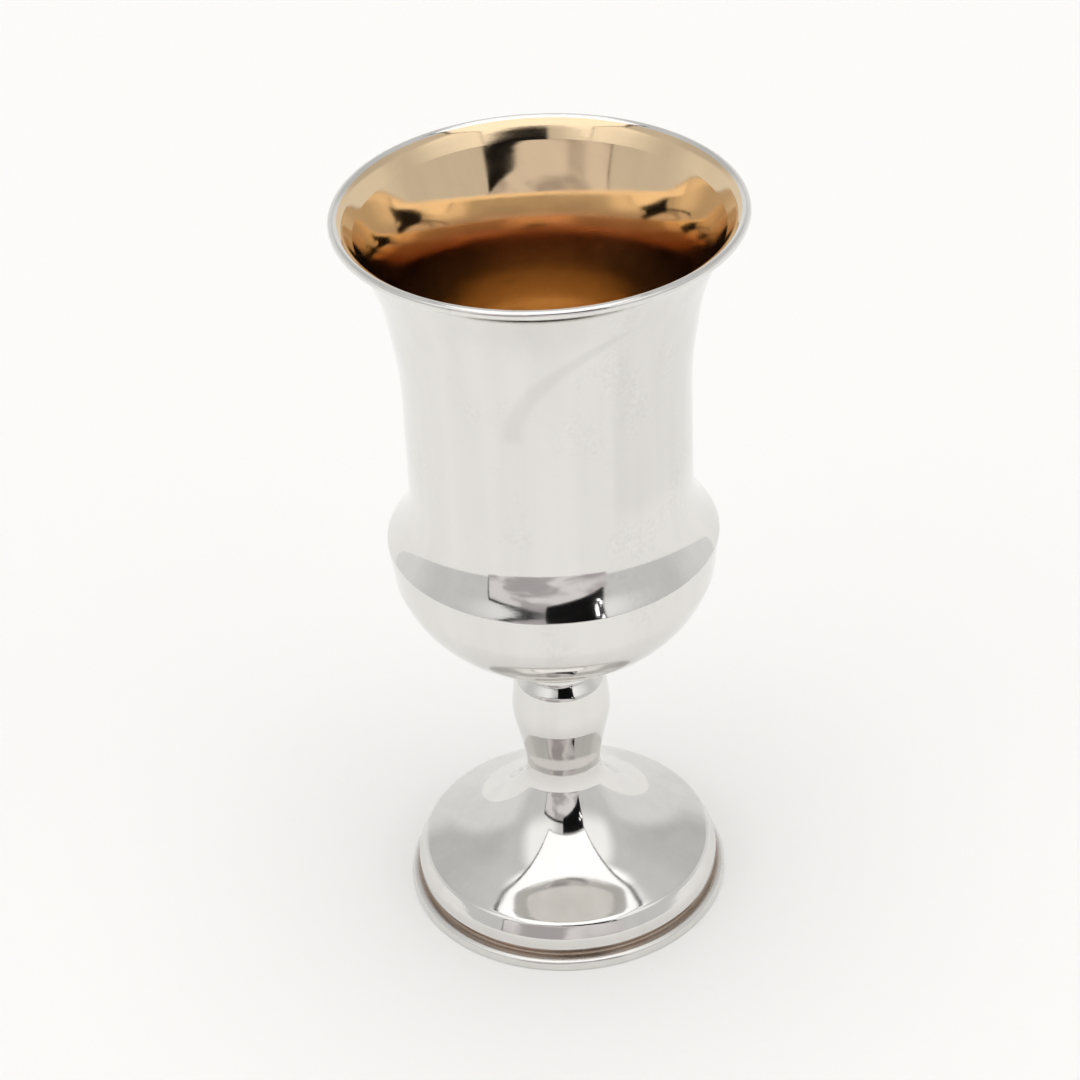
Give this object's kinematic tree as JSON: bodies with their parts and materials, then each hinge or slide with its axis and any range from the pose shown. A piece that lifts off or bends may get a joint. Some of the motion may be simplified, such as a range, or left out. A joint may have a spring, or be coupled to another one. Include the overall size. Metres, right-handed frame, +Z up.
{
  "type": "kiddush cup",
  "caption": "Stemmed silver kiddush goblet: rolled rim, flared neck, creased bulb, gilded inside, egg-shaped knop and a domed trumpet foot on a base ring.",
  "frame": {"origin": "centre of the flat underside of the base ring, on the surface the cup stands on", "axes": "+Z up along the axis of the cup, from the foot to the rim; the cup is round, so +X and +Y are any two horizontal directions"},
  "size_m": [0.072, 0.072, 0.146],
  "materials": {
    "bowl_silver": "hand-polished silver outside, polished gilding inside the bowl up to the rim",
    "stem_silver": "hand-polished silver",
    "foot_silver": "hand-polished silver, browner in the groove above the base ring"
  },
  "bodies": {
    "root": {"bowl": "bowl_silver", "stem_knop": "stem_silver", "foot": "foot_silver"}
  },
  "joints": []
}
